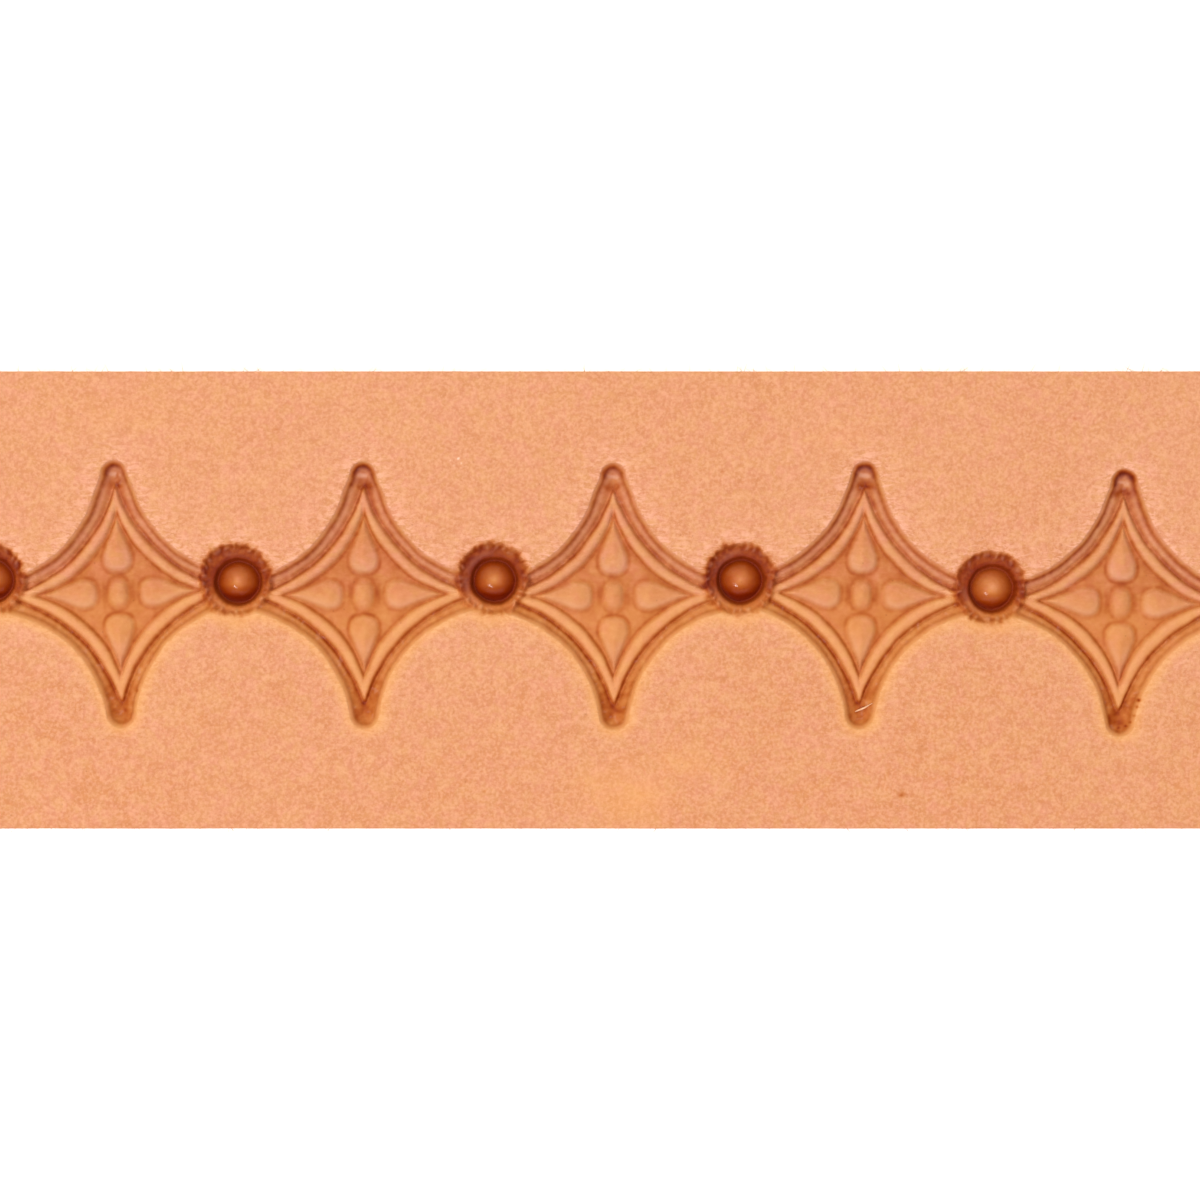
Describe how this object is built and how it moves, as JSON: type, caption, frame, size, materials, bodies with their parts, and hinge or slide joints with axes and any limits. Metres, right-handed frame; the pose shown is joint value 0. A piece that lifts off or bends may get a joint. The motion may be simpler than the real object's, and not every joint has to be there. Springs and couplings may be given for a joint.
{
  "type": "stamped leather strip",
  "caption": "Strip of natural tan leather with a tooled border: hollow-sided star impressions with petals and a boss, linked at their side tips by round berry impressions.",
  "frame": {"origin": "centre of the strip's flat back, which is the bottom centre of its bounding box", "axes": "+X along the strip, +Y across it towards the stars' upper tips, +Z out of the stamped grain"},
  "size_m": [0.104, 0.0334, 0.004],
  "materials": {
    "grain": "natural grain, burnished dark in the impressions",
    "flesh": "rough fibrous suede"
  },
  "bodies": {
    "root": {"grain_side": "grain", "flesh_side": "flesh"}
  },
  "joints": []
}
